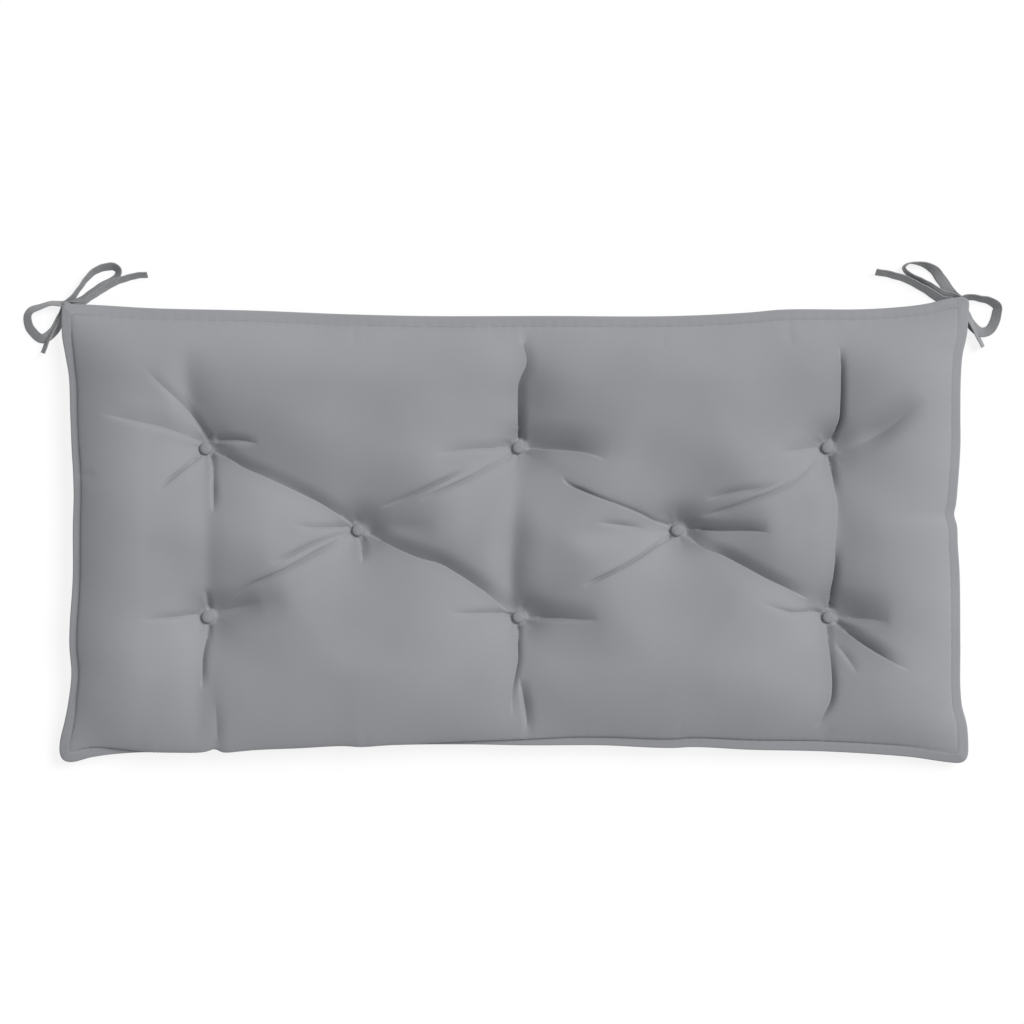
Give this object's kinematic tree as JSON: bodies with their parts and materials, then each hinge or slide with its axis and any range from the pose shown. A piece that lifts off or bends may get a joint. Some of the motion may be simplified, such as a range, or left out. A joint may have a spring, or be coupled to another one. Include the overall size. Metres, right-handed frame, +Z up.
{
  "type": "bench cushion",
  "caption": "Filled, tufted seat cushion for a bench, with a topstitched flange round its edge, covered buttons and a tape bow at each rear corner.",
  "frame": {"origin": "centre of the underside on the surface that the cushion lies on, the ties left out", "axes": "+X along the length, +Y from the front edge towards the rear edge with the ties, +Z up through the thickness"},
  "size_m": [1.0851, 0.5551, 0.0611],
  "materials": {
    "cover_cloth": "matte plain-woven polyester, mid grey",
    "button_cloth": "the same cloth drawn over a button",
    "tape_cloth": "the same cloth folded and stitched to a tape"
  },
  "bodies": {
    "root": {"cushion": "cover_cloth", "button_1": "button_cloth", "button_2": "button_cloth", "button_3": "button_cloth", "button_4": "button_cloth", "button_5": "button_cloth", "button_6": "button_cloth", "button_7": "button_cloth", "button_8": "button_cloth", "tie_left": "tape_cloth", "tie_right": "tape_cloth"}
  },
  "joints": []
}
